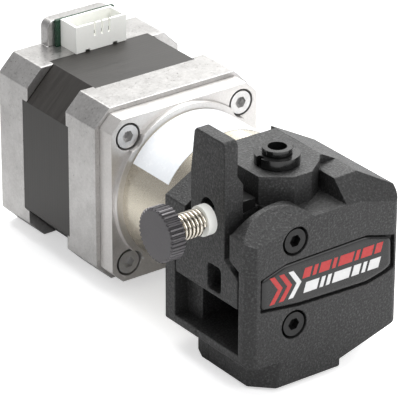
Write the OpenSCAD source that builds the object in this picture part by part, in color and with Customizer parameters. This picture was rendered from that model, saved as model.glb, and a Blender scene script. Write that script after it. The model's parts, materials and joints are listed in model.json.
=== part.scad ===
// Filament extruder: a geared stepper motor that drives a pair of toothed drive wheels in a
// two-piece printed housing, with a sprung lever and a thumbscrew that set the grip.
// Millimetres. +Z up, +Y towards the motor, origin where the filament leaves the foot.

/* [Motor] */
// Width across the flats of the motor caps
motor_w = 42.3; // [42:0.1:42.6]
// Corner chamfer of the motor caps
motor_chamfer = 4.1; // [3.6:0.1:4.6]
// Corner chamfer of the stator laminations
stack_chamfer = 7.5; // [7.2:0.1:7.8]
// Length of the front cap along the motor axis
front_cap_l = 10.5; // [10.3:0.1:11]
// Length of the stator laminations
stack_l = 18.4; // [16:0.1:24]
// Length of the rear cap
rear_cap_l = 9.65; // [9.5:0.05:10]
// Distance between the screws on each side of the motor
screw_square = 31; // [31:0.1:31.2]
// Diameter of the motor shaft
motor_shaft_d = 5; // [4.8:0.1:5]

/* [Gearbox] */
// Width of the square base plate
plate_w = 40; // [39.5:0.1:41]
// Thickness of the base plate
plate_t = 4.7; // [4.5:0.1:4.9]
// Diameter of the gearbox drum
drum_d = 36; // [36:0.1:36.4]
// Module of the planetary gears
stage_module = 0.6; // [0.6:0.6]
// Teeth of the sun gear
sun_teeth = 12; // [12:12]
// Teeth of each planet gear
planet_teeth = 18; // [18:18]
// Diameter of the circle of screws on the gearbox face
face_pcd = 28; // [28:0.1:28.2]

/* [Drive wheels] */
// Module of the drive wheels
drive_module = 0.5; // [0.5:0.5]
// Teeth of each drive wheel
drive_teeth = 15; // [15:15]
// Diameter of the output shaft inside the drive wheel
drive_shaft_d = 5; // [4.9:0.1:5]

/* [Housing] */
// Outer plane of the lever side, from the motor axis
house_left = 22; // [21.8:0.1:22.2]
// Outer plane of the far side, from the motor axis
house_right = 18.7; // [18.5:0.1:19.5]
// Height of the inlet boss over the motor axis
boss_top = 21; // [20.8:0.1:21.4]
// Depth of the foot under the motor axis
foot_depth = 24.4; // [24:0.1:25]

/* [Lever and tension screw] */
// Thickness of the lever plate
lever_t = 3.3; // [3:0.1:3.4]
// Height of the lever's top over the motor axis
lever_top = 32.4; // [30:0.1:34]
// Height of the thumbscrew over the motor axis
screw_z = 12.8; // [12.6:0.1:13]
// Diameter of the thumbscrew's knob
knob_d = 12.1; // [11:0.1:13]
// Diameter of the thumbscrew's thread
thumb_d = 4; // [4:4]
// Coils of the tension spring
spring_turns = 6; // [5:1:6]

/* [Filament path] */
// Outside diameter of the guide tube that the collet takes
tube_d = 4.2; // [4.1:0.05:4.3]
// Diameter of the filament channel
channel_d = 2.2; // [2:0.1:2.4]

/* [Hidden] */

// Smoothness of the round faces, which stay true cylinders
$fn = 48;
// Clearance of parts that turn or slide on each other
run_gap = 0.06;
// Clearance between a screw and its thread or through hole
thread_gap = 0.03;
hole_gap = 0.15;
// Amount that a cut runs past the face it opens
past = 1;

// Filament axis and joint plane, from the motor axis at the base plate's front face
path_x = -drive_module * drive_teeth / 2;
path_y = -38.3;
idler_x = 2 * path_x;

// Stations along the motor axis, from the front of the housing to the rear cap
cover_front_y = -53;
cover_joint_y = -34.2;
house_back_y = -22.8;
gearcase_joint_y = -15.3;
collar_y = -1.3;
cap_y = plate_t;
stack_y = cap_y + front_cap_l;
rear_y = stack_y + stack_l;
end_y = rear_y + rear_cap_l;
ear_l = 1.15;
rear_ear_l = 1.9;

// Motor inside
screw_pos = screw_square / 2;
m3_r = 1.5;
m3_head_r = 2.75;
m3_head_l = 3;
m3_counterbore_r = 3.2;
bearing_w = 5;
bearing_r = 8;
bearing_groove_in = 4.3;
bearing_groove_out = 6.2;
front_bearing_y = cap_y + 2.2;
rear_bearing_y = end_y - 1.75 - bearing_w;
coil_room_r = 17.5;
coil_over = 2.6;
pole_r = 11.3;
slot_r = 18;
rotor_r = 11.1;
rotor_teeth = 50;
pole_w = 5.1;
poles = 8;
pilot_r = 11;
pilot_l = 2;

// Connector on the rear cap
shell_x0 = -6.6;
shell_x1 = 7.4;
shell_y0 = rear_y - 0.6;
shell_y1 = rear_y + 5.8;
shell_top = 27.75;
shell_wall = 0.7;
pin_pitch = 2;
pin_count = 6;
pin_w = 0.5;
board_t = 1;

// Planetary stage
ring_teeth = sun_teeth + 2 * planet_teeth;
carrier_r = stage_module * (sun_teeth + planet_teeth) / 2;
planet_count = 3;
planet_y0 = -12;
planet_y1 = -5;
stage_pin_r = 1.5;
drum_r = drum_d / 2;
sticker_t = 0.1;
plate_disc_r = 12.6;
output_r = 4;
output_bearing_y = -22.3;
face_pos = face_pcd / 2 * cos(45);

// Drive wheels
drive_r = drive_module * drive_teeth / 2;
drive_shaft_r = drive_shaft_d / 2;
wheel_y0 = -43.4;
wheel_y1 = -34.9;
tooth_y1 = -40.2;
hub_y1 = -30.6;
hub_r = 4.2;
filament_r = 0.875;
shaft_end_y = -49;
nose_bearing_y = -49.1;
nose_bearing_w = 2.5;
nose_bearing_r = 4;

// Housing outline, seen from the front
eave_z = 14.2;
roof_x = 6.3;
shoulder_z = 12.4;
shoulder_x = -11.4;
shoulder_top = 18.1;
sill_z = -17.9;
belly_x = 2.8;
belly_z = -22.4;
brow_z = 14.4;
brow_right_z = 11.2;
edge_bevel = 2;
boss_back_y = -24.4;
boss_seat_z = 13;
shelf_z = 19;
shelf_x = 3.7;
shelf_back_y = -41;
arch_y = -46.2;

// Lever window and its inside room
window_y0 = -49.1;
window_y1 = -26.4;
window_z = -15.3;
slot_y0 = -46;
slot_y1 = -30;
slot_z = 6.1;
window_depth = 3.6;
room_y0 = -46.4;
room_y1 = -31.7;
room_right = -6.1;
shaft_room_r = 5.3;
idler_room_r = 4.9;

// Foot
foot_left = -18.7;
foot_right = 2.8;
foot_back_y = -30.4;
foot_bevel = 4.9;

// Lever
lever_x0 = -house_left;
lever_x1 = lever_x0 + lever_t;
lever_bottom = -4.5;
lever_wide_z = 2.5;
lever_neck_z = 5.5;
lever_y0 = -48.8;
lever_y1 = -26.7;
arm_y0 = -44.1;
arm_y1 = -32.1;
rib_x = -17;
rib_top = 21.5;
cheek_w = 2.4;
cheek_y0 = -46.1;
cheek_y1 = -32.2;
pivot_hub_r = 3.2;
idler_hub_r = 3;
idler_pin_r = 1.5;

// Tension screw stations along X
nut_x0 = -15.2;
nut_t = 3.2;
nut_flats = 7;
nut_block_x = -15.9;
nut_block_y0 = -42;
nut_block_y1 = -34.6;
nut_block_z0 = 8.2;
nut_block_z1 = 17.4;
thumb_end_x = -12;
bush_t = 2.1;
bush_r = 3.4;
knob_x0 = -35.6;
knob_t = 3.8;
knurls = 36;
knurl_r = 0.45;
washer_t = 0.5;
washer_r = 3.4;
thumb_r = thumb_d / 2;
spring_wire_r = 0.4;
spring_r = 2.62;
spring_ring_step = 24;
spring_sides = 8;

// Inlet coupling
sleeve_r = 4.6;
sleeve_z = 15;
collet_r = 2.9;
collet_z = 17;
collet_top = boss_top + 3.7;
collet_flange_r = 3.3;
collet_flange_t = 1.2;
clip_r = 5;
clip_z0 = boss_top + 0.15;
clip_z1 = boss_top + 2.3;
outlet_l = 8;

// Colours
plastic = [0.16, 0.16, 0.165];
alloy = [0.78, 0.77, 0.75];
steel = [0.72, 0.69, 0.62];
dark_steel = [0.36, 0.35, 0.33];
black_oxide = [0.1, 0.1, 0.1];
copper = [0.6, 0.34, 0.18];
nylon = [0.94, 0.94, 0.9];

// Puts a sub-part modelled on the motor axis into the part's own frame
module in_place() { translate([-path_x, -path_y, foot_depth]) children(); }

// Extrudes an outline drawn in X and Z between two stations along Y
module along_y(y0, y1) { translate([0, y1, 0]) rotate([90, 0, 0]) linear_extrude(y1 - y0) children(); }

// Extrudes an outline drawn in Y and Z between two stations along X
module along_x(x0, x1) { translate([x0, 0, 0]) rotate([90, 0, 90]) linear_extrude(x1 - x0) children(); }

// Round bar along Y, and a round tube along Y
module rod_y(r, y0, y1, x = 0, z = 0) { along_y(y0, y1) translate([x, z]) circle(r = r); }
module tube_y(r_out, r_in, y0, y1, x = 0, z = 0) {
  along_y(y0, y1) translate([x, z]) difference() {
    circle(r = r_out);
    circle(r = r_in);
  }
}

// Round bar along X at the height of the thumbscrew
module rod_x(r, x0, x1) { along_x(x0, x1) translate([path_y, screw_z]) circle(r = r); }

// Upright round bar on the filament axis
module rod_z(r, z0, z1) { translate([path_x, path_y, z0]) cylinder(r = r, h = z1 - z0); }

// A box between two corners
module box(a, b) { translate(a) cube(b - a); }

// The half space beyond a plane
module beyond(point, normal) {
  size = 60;
  tilt = acos(normal[2] / norm(normal));
  turn = atan2(normal[1], normal[0]);
  translate(point) rotate([0, tilt, turn]) translate([-size / 2, -size / 2, 0]) cube(size);
}

// Square with chamfered corners, and the four places of the case screws
module chamfered_square(w, c) {
  h = w / 2;
  polygon([
    [h, h - c], [h - c, h], [c - h, h], [-h, h - c], [-h, c - h], [c - h, -h], [h - c, -h], [h, c - h]
  ]);
}
module at_corners(d) { for (x = [-d, d], z = [-d, d]) translate([x, z]) children(); }

// Rectangle with round corners, exact arcs
module rounded_rect(w, h, r) {
  translate([-w / 2, -h / 2]) {
    translate([r, 0]) square([w - 2 * r, h]);
    translate([0, r]) square([w, h - 2 * r]);
    for (x = [r, w - r], y = [r, h - r]) translate([x, y]) circle(r = r);
  }
}

// Involute gear outline: half the angle of a tooth at a radius, and the outline's points
function roll_angle(rho, base) =
  rho <= base ? 0 : let(t = sqrt(rho * rho / base / base - 1)) t * 180 / PI - atan(t);
function half_tooth(m, n, rho, play) =
  let(r = m * n / 2, base = r * cos(20))
  90 / n - play / r * 180 / PI + roll_angle(r, base) - roll_angle(rho, base);
function gear_points(m, n, root, tip, play, phase) = [
  for (i = [0 : n - 1], side = [-1, 1], k = [0 : 2])
    let(
      step = side < 0 ? k : 2 - k,
      rho = root + (tip - root) * step / 2,
      a = i * 360 / n + phase + side * half_tooth(m, n, rho, play)
    )
    rho * [cos(a), sin(a)]
];
addendum = 0.8;
dedendum = 1.05;
tooth_play = 0.045;
module gear_outline(m, n, phase = 0) {
  r = m * n / 2;
  polygon(gear_points(m, n, r - dedendum * m, r + addendum * m, tooth_play, phase));
}
module ring_gear_space(m, n, phase) {
  r = m * n / 2;
  polygon(gear_points(m, n, r - addendum * m, r + dedendum * m, -tooth_play, phase));
}

// Socket head cap screw along Y, head towards -Y with its top at y_head
module cap_screw_y(y_head, length, x = 0, z = 0) {
  key_r = 1.45;
  key_l = 1.6;
  difference() {
    union() {
      rod_y(m3_head_r, y_head, y_head + m3_head_l, x, z);
      rod_y(m3_r, y_head + m3_head_l - 0.2, y_head + m3_head_l + length, x, z);
    }
    translate([x, y_head + key_l, z]) rotate([90, 0, 0]) cylinder(r = key_r, h = key_l + past, $fn = 6);
  }
}

// Deep-groove bearing around the motor axis, in its three kinds of piece
bearing_balls = 7;
module bearing_outer(y) { tube_y(bearing_r, bearing_groove_out, y, y + bearing_w); }
module bearing_inner(y, r) { tube_y(bearing_groove_in, r, y + 0.1, y + bearing_w - 0.1); }
module bearing_ball_set(y) {
  mid = (bearing_groove_in + bearing_groove_out) / 2;
  ball_r = (bearing_groove_out - bearing_groove_in) / 2 - 0.02;
  for (i = [0 : bearing_balls - 1]) {
    a = i * 360 / bearing_balls;
    translate([mid * cos(a), y + bearing_w / 2, mid * sin(a)]) sphere(r = ball_r);
  }
}

// Ears of a motor cap that wrap the corners of the laminations
module cap_ears(y0, y1) {
  along_y(y0, y1) difference() {
    chamfered_square(motor_w, motor_chamfer);
    chamfered_square(motor_w + 0.02, stack_chamfer);
  }
}
module case_bolt_holes(y0, y1) {
  along_y(y0, y1) at_corners(screw_pos) circle(r = m3_r + thread_gap);
}

module motor_rear_cap() {
  wall = 2.45;
  tube_r = 9.5;
  tube_y = rear_bearing_y - 0.1;
  head_room = 2.4;
  hood_w = 18;
  hood_x = -0.5;
  hood_z = 27.4;
  hood_r = 2;
  color(alloy) in_place() difference() {
    union() {
      difference() {
        along_y(rear_y, end_y) chamfered_square(motor_w, motor_chamfer);
        rod_y(coil_room_r, rear_y - past, end_y - wall);
      }
      rod_y(tube_r, tube_y, end_y - 0.5);
      cap_ears(rear_y - rear_ear_l, rear_y);
      along_y(shell_y1 + board_t, end_y)
        translate([hood_x, hood_z / 2 + 8]) rounded_rect(hood_w, hood_z - 16, hood_r);
    }
    rod_y(bearing_r, tube_y - past, rear_bearing_y + bearing_w);
    rod_y(motor_shaft_d / 2 + 0.5, tube_y, end_y - 0.8);
    case_bolt_holes(rear_y - past - rear_ear_l, end_y + past);
    along_y(end_y - head_room, end_y + past) at_corners(screw_pos) circle(r = m3_counterbore_r);
    box([shell_x0 - 1.1, shell_y1 - 0.05, coil_room_r - 3], [shell_x1 + 1.1, shell_y1 + board_t, 40]);
  }
}

module motor_laminations() {
  shoe_r = 12.8;
  shoe_angle = 17;
  color(dark_steel) in_place() along_y(rear_y - stack_l, rear_y) difference() {
    chamfered_square(motor_w, stack_chamfer);
    difference() {
      circle(r = slot_r);
      for (i = [0 : poles - 1]) rotate(i * 360 / poles) {
        translate([0, -pole_w / 2]) square([slot_r + past, pole_w]);
        intersection() {
          circle(r = shoe_r);
          polygon([[0, 0], slot_r * [cos(shoe_angle), sin(shoe_angle)], slot_r * [cos(shoe_angle), -sin(shoe_angle)]]);
        }
      }
    }
    circle(r = pole_r);
    at_corners(screw_pos) circle(r = m3_r + hole_gap);
  }
}

module motor_windings() {
  coil_in = 13.1;
  coil_w = 9;
  color(copper) in_place() for (i = [0 : poles - 1]) rotate([0, i * 360 / poles, 0]) difference() {
    box([coil_in, stack_y - coil_over, -coil_w / 2], [coil_room_r - 0.6, rear_y + coil_over, coil_w / 2]);
    box([coil_in - past, stack_y - 0.05, -pole_w / 2 - 0.05],
        [coil_room_r + past, rear_y + 0.05, pole_w / 2 + 0.05]);
  }
}

module motor_front_cap() {
  coil_room_y = stack_y - coil_over - 0.3;
  color(alloy) in_place() difference() {
    union() {
      along_y(cap_y, stack_y) chamfered_square(motor_w, motor_chamfer);
      cap_ears(stack_y, stack_y + ear_l);
      rod_y(pilot_r, cap_y - pilot_l, cap_y + 0.5);
    }
    rod_y(coil_room_r, coil_room_y, stack_y + past);
    rod_y(bearing_r, front_bearing_y, coil_room_y + past);
    rod_y(motor_shaft_d / 2 + 0.8, 0, front_bearing_y + past);
    case_bolt_holes(cap_y - past, stack_y + past + ear_l);
  }
}

module motor_case_bolts() {
  head_l = 2.3;
  slot_w = 0.8;
  slot_l = 3.4;
  color(steel) in_place() for (x = [-screw_pos, screw_pos], z = [-screw_pos, screw_pos]) difference() {
    union() {
      rod_y(m3_r, stack_y - 4, end_y - head_l, x, z);
      rod_y(m3_head_r, end_y - head_l, end_y - 0.1, x, z);
    }
    for (turn = [0, 90]) translate([x, end_y, z]) rotate([0, turn, 0]) cube([slot_l, 2.4, slot_w], center = true);
  }
}

module motor_bearing_outer_rings() {
  color(steel) in_place() for (y = [front_bearing_y, rear_bearing_y]) bearing_outer(y);
}
module motor_bearing_inner_rings() {
  color(steel) in_place() for (y = [front_bearing_y, rear_bearing_y]) bearing_inner(y, motor_shaft_d / 2);
}
module motor_bearing_balls() {
  color(steel) in_place() for (y = [front_bearing_y, rear_bearing_y]) bearing_ball_set(y);
}

// Bent contact pin: out of the board, then up inside the connector
module contact_pins(grow = 0) {
  w = pin_w + 2 * grow;
  reach_y = shell_y0 + 3.2;
  low_z = motor_w / 2 + 2.2;
  tip_z = motor_w / 2 + 4.1;
  first_x = (shell_x0 + shell_x1) / 2 - pin_pitch * (pin_count - 1) / 2;
  for (i = [0 : pin_count - 1]) translate([first_x + i * pin_pitch, 0, 0]) {
    box([-w / 2, reach_y, low_z - w / 2], [w / 2, shell_y1 + board_t - 0.05, low_z + w / 2]);
    box([-w / 2, reach_y - pin_w / 2, low_z - w / 2], [w / 2, reach_y + pin_w / 2, tip_z]);
  }
}
module connector_pins() { color(steel) in_place() contact_pins(); }

module motor_connector() {
  floor_z = motor_w / 2;
  slit_w = 0.5;
  slit_l = 3.2;
  color(nylon) in_place() difference() {
    box([shell_x0, shell_y0, floor_z], [shell_x1, shell_y1, shell_top]);
    box([shell_x0 + shell_wall, shell_y0 + shell_wall, floor_z + 1],
        [shell_x1 - shell_wall, shell_y1 - shell_wall, shell_top + past]);
    for (i = [0 : 2]) translate([shell_x0 + 5 + i * pin_pitch, shell_y0 - past, shell_top - slit_l])
      cube([slit_w, shell_wall + 2 * past, slit_l + past]);
    contact_pins(0.05);
    for (x = [shell_x0 + 2.6, shell_x1 - 3.8])
      box([x, shell_y0 - past, floor_z - past], [x + 1.2, shell_y1 - 2, floor_z + 0.5]);
  }
}

module motor_circuit_board() {
  color([0.1, 0.32, 0.2]) in_place() difference() {
    box([shell_x0 - 1, shell_y1, coil_room_r - 2.5], [shell_x1 + 1, shell_y1 + board_t - 0.05, shell_top - 0.2]);
    contact_pins(0.05);
  }
}

module gearbox_base_plate() {
  collar_r = 19.6;
  inner_r = 14.5;
  color(alloy) in_place() difference() {
    union() {
      along_y(0, plate_t) chamfered_square(plate_w, 2.9);
      intersection() {
        rod_y(collar_r, collar_y, 0.5);
        along_y(collar_y, 0.5) chamfered_square(plate_w - 0.6, 2.9);
      }
    }
    rod_y(inner_r, collar_y - past, cap_y - pilot_l);
    rod_y(pilot_r, cap_y - pilot_l - past, plate_t + past);
    along_y(collar_y - past, m3_head_l + 0.1) at_corners(screw_pos) circle(r = m3_counterbore_r);
    along_y(0, plate_t + past) at_corners(screw_pos) circle(r = m3_r + hole_gap);
  }
}

module gearbox_screws() {
  screw_l = 6.4;
  color(steel) in_place() for (x = [-screw_pos, screw_pos], z = [-screw_pos, screw_pos])
    cap_screw_y(0.1, screw_l, x, z);
}

module ring_gear() {
  color(steel) in_place() along_y(gearcase_joint_y, collar_y) difference() {
    circle(r = drum_r, $fn = 96);
    ring_gear_space(stage_module, ring_teeth, 180 / ring_teeth);
  }
}

module gearbox_sticker() {
  start = -40;
  stop = 148;
  reach = 60;
  color([0.96, 0.97, 0.98]) in_place() along_y(gearcase_joint_y + 0.4, collar_y - 0.3) intersection() {
    difference() {
      circle(r = drum_r + sticker_t, $fn = 96);
      circle(r = drum_r, $fn = 96);
    }
    polygon(concat([[0, 0]], [for (a = [start : 47 : stop]) reach * [cos(a), sin(a)]]));
  }
}

module gearbox_front_cap() {
  screw_depth = 5.5;
  color(steel) in_place() difference() {
    union() {
      rod_y(drum_r, house_back_y, gearcase_joint_y);
      rod_y(pilot_r, house_back_y - pilot_l, house_back_y + 0.5);
    }
    rod_y(bearing_r, output_bearing_y, gearcase_joint_y + past);
    rod_y(bearing_groove_out, house_back_y - pilot_l - past, output_bearing_y + past);
    along_y(house_back_y - past, house_back_y + screw_depth) at_corners(face_pos) circle(r = m3_r + thread_gap);
  }
}

module output_bearing_outer_ring() { color(steel) in_place() bearing_outer(output_bearing_y); }
module output_bearing_balls() {
  mid = (bearing_groove_out + output_r + 0.8) / 2;
  ball_r = (bearing_groove_out - output_r - 0.8) / 2 - 0.02;
  count = 12;
  color(steel) in_place() for (i = [0 : count - 1]) rotate([0, i * 360 / count, 0])
    translate([mid, output_bearing_y + bearing_w / 2, 0]) sphere(r = ball_r);
}
module output_bearing_inner_ring() {
  color(steel) in_place() tube_y(output_r + 0.8, output_r, output_bearing_y + 0.1, output_bearing_y + bearing_w - 0.1);
}

// Front view of the body under the roof line, shared by the housing and the cover
module body_outline(top) {
  polygon(concat([
    [-house_left, sill_z + 0.8], [-house_left + 0.8, sill_z], [belly_x, sill_z], [belly_x, belly_z],
    [house_right, sill_z + 0.2]
  ], top));
}

// Plan view of the body: a bevelled lever-side corner and a round far corner
module body_plan() {
  round_r = 2;
  difference() {
    translate([-house_left, cover_front_y]) square([house_left + house_right, house_back_y - cover_front_y]);
    polygon([[-house_left - past, cover_front_y - past], [-house_left - past, cover_front_y + edge_bevel + past],
      [-house_left + edge_bevel + past, cover_front_y - past]]);
    translate([house_right - round_r, cover_front_y + round_r]) difference() {
      translate([0, -round_r - past]) square(round_r + past);
      circle(r = round_r);
    }
  }
}
module in_plan() { translate([0, 0, -50]) linear_extrude(100) children(); }

// Foot outline from above, and the foot between two stations along Y
module foot(y0, y1) {
  heel = 1.4;
  intersection() {
    translate([0, 0, -foot_depth]) linear_extrude(foot_depth + sill_z + 0.5) polygon([
      [foot_left, foot_back_y], [foot_left, cover_front_y + foot_bevel],
      [foot_left + foot_bevel, cover_front_y], [foot_right, cover_front_y], [foot_right, foot_back_y]
    ]);
    along_x(foot_left - past, foot_right + past) polygon([
      [foot_back_y, sill_z + past], [foot_back_y, heel - foot_depth], [foot_back_y - heel, -foot_depth],
      [cover_front_y + 0.5, -foot_depth], [cover_front_y, 0.5 - foot_depth], [cover_front_y, sill_z + past]
    ]);
    box([foot_left - past, y0, -foot_depth - past], [foot_right + past, y1, sill_z + past]);
  }
}

// Room for the lever, its fork and the two drive wheels
module lever_room() {
  along_x(-house_left - past, -house_left + window_depth) polygon([
    [window_y0, window_z], [window_y0, 4.6], [slot_y0, slot_z], [slot_y0, 50],
    [slot_y1, 50], [slot_y1, slot_z], [window_y1, 4.6], [window_y1, window_z]
  ]);
  along_y(room_y0, room_y1) {
    circle(r = shaft_room_r);
    translate([idler_x, 0]) circle(r = idler_room_r);
    polygon([
      [-house_left, window_z], [room_right, window_z], [room_right, -3], [idler_x, idler_room_r],
      [idler_x, slot_z], [-house_left, slot_z]
    ]);
  }
  box([-house_left - past, slot_y0, 0], [shoulder_x, slot_y1, 50]);
}

// Screw holes along Y that the housing and the cover share
module body_screw_holes() {
  for (z = [-face_pos, face_pos]) {
    rod_y(m3_r + hole_gap, cover_front_y - past, house_back_y + past, -face_pos, z);
    rod_y(m3_counterbore_r + 0.1, cover_front_y - past, cover_front_y + m3_head_l + 0.2, -face_pos, z);
  }
}

module housing() {
  ledge_z = 19.5;
  floor_y = house_back_y - 3.6;
  color(plastic) in_place() difference() {
    union() {
      along_y(cover_joint_y, house_back_y) body_outline([
        [house_right, eave_z], [roof_x, boss_top], [roof_x, ledge_z], [shoulder_x, ledge_z],
        [shoulder_x, shoulder_top], [-house_left, shoulder_z]
      ]);
      foot(cover_joint_y, foot_back_y);
    }
    box([shoulder_x, cover_joint_y - past, boss_seat_z], [roof_x, boss_back_y, 40]);
    lever_room();
    body_screw_holes();
    rod_y(pilot_r + 0.05, house_back_y - pilot_l - 0.1, house_back_y + past);
    rod_y(shaft_room_r, cover_joint_y - past, house_back_y + past);
    for (z = [-face_pos, face_pos]) {
      rod_y(m3_r + hole_gap, cover_joint_y, house_back_y + past, face_pos, z);
      rod_y(m3_counterbore_r, cover_joint_y - past, floor_y, face_pos, z);
    }
  }
}

module gearbox_face_screws() {
  screw_l = 7.8;
  color(black_oxide) in_place() for (z = [-face_pos, face_pos])
    cap_screw_y(house_back_y - 3.6 - m3_head_l, screw_l, face_pos, z);
}

// Outline of the label and its recess: straight lower edges, a rising top edge and a round end
module label_outline(gap) {
  k = 1 - gap / 18;
  scale([k, 1 - gap / 4.6]) polygon([
    [-18.9, 3.2], [-12.2, 5.3], [9.4, 5.6], [17.1, 3.5], [17.3, -4.4], [14.7, -5.3], [10, -6.3],
    [-8.6, -5.8], [-18.9, -4.5]
  ]);
}

// The rounded brow over the upper cover screw
module cover_brow() {
  brow_r = 18.5;
  brow_drop = brow_r - 16.5;
  along_y(cover_front_y, arch_y) {
    intersection() {
      translate([-face_pos, -brow_drop]) circle(r = brow_r, $fn = 96);
      translate([-house_left, 8]) square([house_left - face_pos, 12]);
    }
    intersection() {
      translate([-face_pos, face_pos]) circle(r = 16.5 - face_pos);
      translate([-face_pos - 0.1, 8]) square([8, 12]);
    }
  }
}

// The far-side part of the cover's roof, with its sloped front
module cover_shelf() {
  difference() {
    along_y(cover_front_y, cover_joint_y) polygon([
      [shelf_x, 0], [shelf_x, shelf_z], [9.9, shelf_z], [house_right, eave_z], [house_right, 0]
    ]);
    beyond([0, cover_front_y, brow_z], [0, -1, 1]);
    beyond([7, cover_front_y, brow_z], [0.181, -0.751, 0.662]);
  }
  along_y(shelf_back_y, cover_joint_y) polygon([[shelf_x, 0], [shelf_x, boss_top], [roof_x, boss_top],
    [house_right, eave_z], [house_right, 0]]);
}

// The octagonal boss that holds the inlet coupling
module inlet_boss() {
  translate([0, 0, boss_seat_z]) linear_extrude(boss_top - boss_seat_z) polygon([
    [shoulder_x, boss_back_y], [shoulder_x, -41.9], [-5.3, -46.4], [-0.6, -46.4], [4.2, -42.8],
    [5.8, shelf_back_y], [roof_x, shelf_back_y], [roof_x, boss_back_y]
  ]);
}

module cover() {
  label_depth = 1.2;
  brow_cut_z = 15.6;
  wall_top = 12;
  color(plastic) in_place() difference() {
    union() {
      difference() {
        intersection() {
          union() {
            along_y(cover_front_y, cover_joint_y) body_outline([
              [house_right, brow_right_z], [7, brow_z], [shoulder_x, brow_z], [-house_left, wall_top]
            ]);
            cover_brow();
            cover_shelf();
          }
          in_plan() body_plan();
        }
        beyond([0, cover_front_y, brow_cut_z], [-0.19, -0.55, 0.82]);
      }
      inlet_boss();
      foot(cover_front_y, cover_joint_y);
    }
    difference() {
      lever_room();
      box([nut_block_x, nut_block_y0, nut_block_z0], [shoulder_x + past, nut_block_y1, nut_block_z1]);
    }
    body_screw_holes();
    along_y(cover_front_y - past, cover_front_y + label_depth) label_outline(0);
    rod_y(nose_bearing_r, nose_bearing_y, room_y0 + past);
    rod_z(sleeve_r, sleeve_z, boss_top + past);
    rod_z(channel_d / 2, -foot_depth - past, boss_top);
    rod_z(tube_d / 2, -foot_depth - past, outlet_l - foot_depth);
    rod_x(thumb_r + hole_gap, nut_block_x - past, thumb_end_x + 0.7);
    nut_pocket();
  }
}

// Slot that takes the square nut from above
module nut_pocket() {
  half = nut_flats / 2 + 0.02;
  box([nut_x0 - 0.02, path_y - half, screw_z - half], [nut_x0 + nut_t + 0.02, path_y + half, nut_block_z1 + past]);
}
module tension_nut() {
  half = nut_flats / 2;
  color(black_oxide) in_place() difference() {
    box([nut_x0, path_y - half, screw_z - half], [nut_x0 + nut_t, path_y + half, screw_z + half]);
    rod_x(thumb_r + thread_gap, nut_x0 - past, nut_x0 + nut_t + past);
  }
}

module cover_screws() {
  screw_l = 31.5;
  color(black_oxide) in_place() for (z = [-face_pos, face_pos]) cap_screw_y(cover_front_y + 0.2, screw_l, -face_pos, z);
}

module cover_label() {
  label_t = 1.05;
  color([0.25, 0.25, 0.25]) in_place() along_y(cover_front_y + 0.1, cover_front_y + 0.1 + label_t) label_outline(0.35);
}

module front_bearing() {
  color(steel) in_place()
    tube_y(nose_bearing_r, drive_shaft_r + run_gap, nose_bearing_y, nose_bearing_y + nose_bearing_w);
}

module inlet_sleeve() {
  floor_t = 1.5;
  color(black_oxide) in_place() difference() {
    rod_z(sleeve_r, sleeve_z, boss_top);
    rod_z(collet_r + 0.05, sleeve_z + floor_t, boss_top + past);
    rod_z(channel_d / 2, sleeve_z - past, boss_top);
  }
}

module inlet_collet() {
  color(black_oxide) in_place() difference() {
    union() {
      rod_z(collet_r, collet_z, collet_top - 0.5);
      rod_z(collet_flange_r, collet_top - collet_flange_t, collet_top);
    }
    rod_z(tube_d / 2, collet_z - past, collet_top + past);
  }
}

// Horseshoe clip that locks the collet up, with a notch at each side
module inlet_clip() {
  notch_w = 1.6;
  mouth_w = 5;
  color(black_oxide) in_place() difference() {
    rod_z(clip_r, clip_z0, clip_z1);
    rod_z(collet_r + 0.05, clip_z0 - past, clip_z1 + past);
    translate([path_x, path_y, 0]) {
      for (x = [-clip_r, clip_r]) box([x - 1.1, -notch_w / 2, clip_z0 - past], [x + 1.1, notch_w / 2, clip_z1 + past]);
      box([-mouth_w / 2, 0, clip_z0 - past], [mouth_w / 2, clip_r + past, clip_z1 + past]);
    }
  }
}

module rotor_stacks() {
  stack = 7.8;
  gap = 2;
  low = rear_y - stack_l / 2 - gap / 2 - stack;
  tooth = 360 / rotor_teeth;
  groove_r = 0.35;
  color(dark_steel) in_place() for (i = [0, 1]) along_y(low + i * (stack + gap), low + i * (stack + gap) + stack)
    difference() {
      polygon([
        for (k = [0 : rotor_teeth - 1], e = [0.25, 0.75, 0.75, 1.25])
          let(odd = e == 1.25 ? 1 : 0, a = (k + (odd ? 1.25 : e) + i / 2) * tooth)
          (e == 0.25 || e == 0.75 ? rotor_r : rotor_r - groove_r) * [cos(a), sin(a)]
      ]);
      circle(r = motor_shaft_d / 2);
    }
}
module rotor_magnet() {
  gap = 2;
  mid = rear_y - stack_l / 2;
  color([0.3, 0.3, 0.32]) in_place() tube_y(rotor_r - 1, motor_shaft_d / 2, mid - gap / 2, mid + gap / 2);
}

neck_r = 2;
neck_y = -3.4;
module motor_shaft() {
  color(steel) in_place() {
    rod_y(motor_shaft_d / 2, neck_y, rear_bearing_y + bearing_w);
    rod_y(neck_r, planet_y0 - 0.1, neck_y);
  }
}
module sun_gear() {
  color(steel) in_place() along_y(planet_y0, planet_y1 + 0.4) difference() {
    gear_outline(stage_module, sun_teeth);
    circle(r = neck_r);
  }
}

// Angle of each planet around the sun gear
function planet_angle(i) = 90 + i * 360 / planet_count;
module at_planet(i) {
  rotate([0, -planet_angle(i), 0]) translate([carrier_r, 0, 0]) children();
}
module planet_gear(i) {
  color(steel) in_place() at_planet(i) along_y(planet_y0, planet_y1) difference() {
    gear_outline(stage_module, planet_teeth, 180 / planet_teeth);
    circle(r = stage_pin_r + run_gap);
  }
}
module planet_gear_1() { planet_gear(0); }
module planet_gear_2() { planet_gear(1); }
module planet_gear_3() { planet_gear(2); }

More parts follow.
